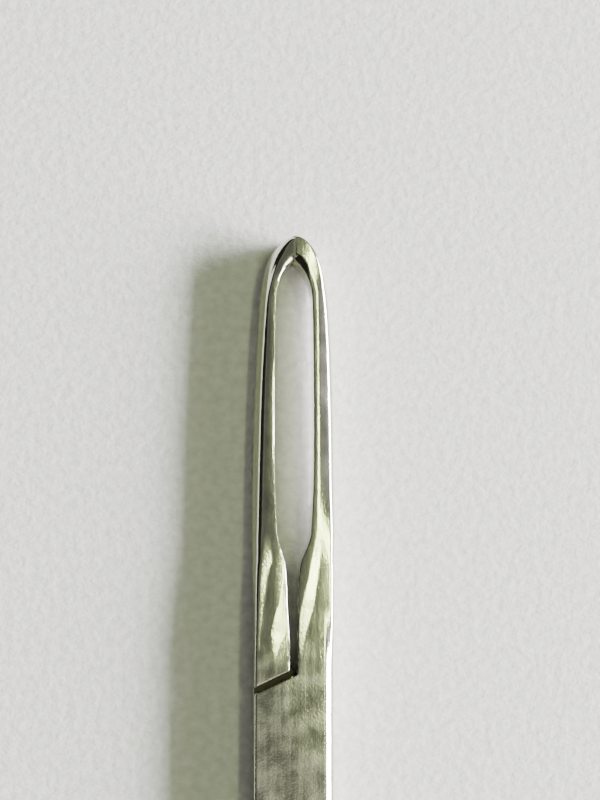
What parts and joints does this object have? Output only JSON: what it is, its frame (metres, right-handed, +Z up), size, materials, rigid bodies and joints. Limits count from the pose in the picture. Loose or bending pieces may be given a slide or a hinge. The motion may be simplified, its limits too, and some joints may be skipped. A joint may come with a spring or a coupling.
{
  "type": "tissue forceps",
  "caption": "Ring-handled tissue forceps with slender bowed jaws, short interlocking teeth at the tips, a box lock and a ratchet between the shanks.",
  "frame": {"origin": "on the pin's axis, at the lock's underside, which lies on the table", "axes": "+Y along the instrument towards the tips, +X to the right seen from above, +Z up along the pin"},
  "size_m": [0.063, 0.1571, 0.0048],
  "materials": {
    "satin_steel": "satin stainless steel, finely brushed along the instrument, with polished edges",
    "ground_steel": "stainless steel, riveted and ground flush"
  },
  "bodies": {
    "box_body": {"box_half": "satin_steel", "pivot_pin": "ground_steel"},
    "tongue_body": {"tongue_half": "satin_steel"}
  },
  "joints": [
    {"name": "jaw_opening", "type": "hinge", "parent": "box_body", "child": "tongue_body", "pos_m": [0, 0, 0.0024], "axis": [0, 0, 1], "range_deg": [0, 45]}
  ]
}
